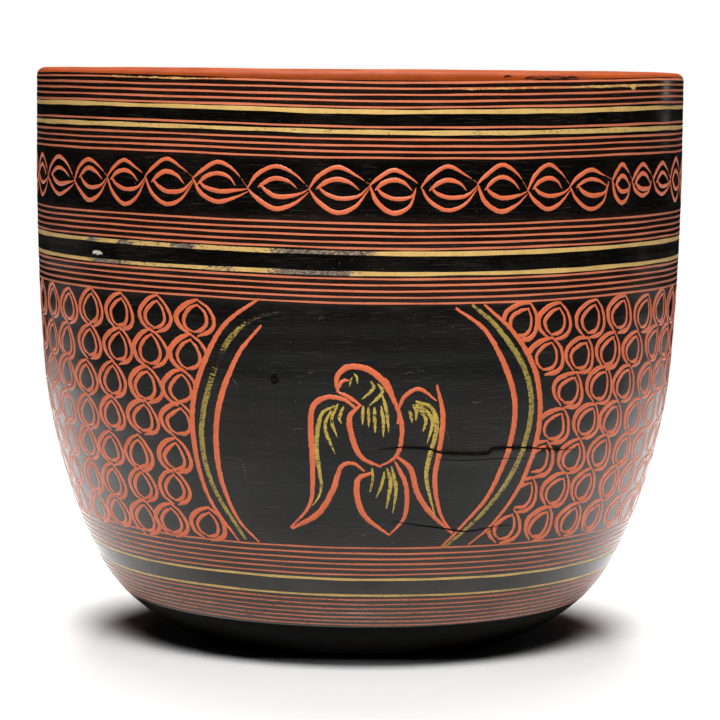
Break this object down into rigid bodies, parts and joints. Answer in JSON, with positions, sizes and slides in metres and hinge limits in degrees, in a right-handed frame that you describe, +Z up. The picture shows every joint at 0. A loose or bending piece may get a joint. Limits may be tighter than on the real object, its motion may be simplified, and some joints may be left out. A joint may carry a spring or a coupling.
{
  "type": "incised lacquer bowl",
  "caption": "Deep round-bottomed lacquer bowl with an orange inside and lip, and engraved red and yellow lines, a chain band, scales and bird panels.",
  "frame": {"origin": "centre of the flat base, on the surface that the bowl stands on", "axes": "+Z up along the bowl's axis, -Y towards the front bird panel, +X to the right seen from the front"},
  "size_m": [0.1404, 0.1404, 0.1232],
  "materials": {
    "bamboo": "split bamboo strip, unfinished inside the wall",
    "putty": "matt ash putty ground",
    "black_lacquer": "polished black lacquer with fine wear",
    "orange_lacquer": "satin orange-red lacquer",
    "vermilion": "vermilion pigment rubbed into cut lines",
    "yellow": "worn yellow pigment rubbed into cut lines"
  },
  "bodies": {
    "root": {"base_coil": "bamboo", "wall_hoop_01": "bamboo", "wall_hoop_02": "bamboo", "wall_hoop_03": "bamboo", "wall_hoop_04": "bamboo", "wall_hoop_05": "bamboo", "wall_hoop_06": "bamboo", "wall_hoop_07": "bamboo", "wall_hoop_08": "bamboo", "wall_hoop_09": "bamboo", "wall_hoop_10": "bamboo", "wall_hoop_11": "bamboo", "wall_hoop_12": "bamboo", "wall_hoop_13": "bamboo", "wall_hoop_14": "bamboo", "wall_hoop_15": "bamboo", "wall_hoop_16": "bamboo", "wall_hoop_17": "bamboo", "wall_hoop_18": "bamboo", "wall_hoop_19": "bamboo", "wall_hoop_20": "bamboo", "wall_hoop_21": "bamboo", "wall_hoop_22": "bamboo", "wall_hoop_23": "bamboo", "wall_hoop_24": "bamboo", "wall_hoop_25": "bamboo", "wall_hoop_26": "bamboo", "outer_ground": "putty", "inner_ground": "putty", "outer_lacquer": "black_lacquer", "inner_lacquer": "orange_lacquer", "rim_red_lines": "vermilion", "neck_red_lines": "vermilion", "shoulder_red_lines": "vermilion", "collar_red_lines": "vermilion", "waist_red_lines": "vermilion", "foot_red_lines": "vermilion", "chain_band": "vermilion", "upper_yellow_lines": "yellow", "middle_yellow_lines": "yellow", "lower_yellow_lines": "yellow", "panel_red_rings_1": "vermilion", "panel_yellow_rings_1": "yellow", "bird_outline_1": "vermilion", "bird_feathers_1": "yellow", "scale_field_1": "vermilion", "panel_red_rings_2": "vermilion", "panel_yellow_rings_2": "yellow", "bird_outline_2": "vermilion", "bird_feathers_2": "yellow", "scale_field_2": "vermilion", "panel_red_rings_3": "vermilion", "panel_yellow_rings_3": "yellow", "bird_outline_3": "vermilion", "bird_feathers_3": "yellow", "scale_field_3": "vermilion"}
  },
  "joints": []
}
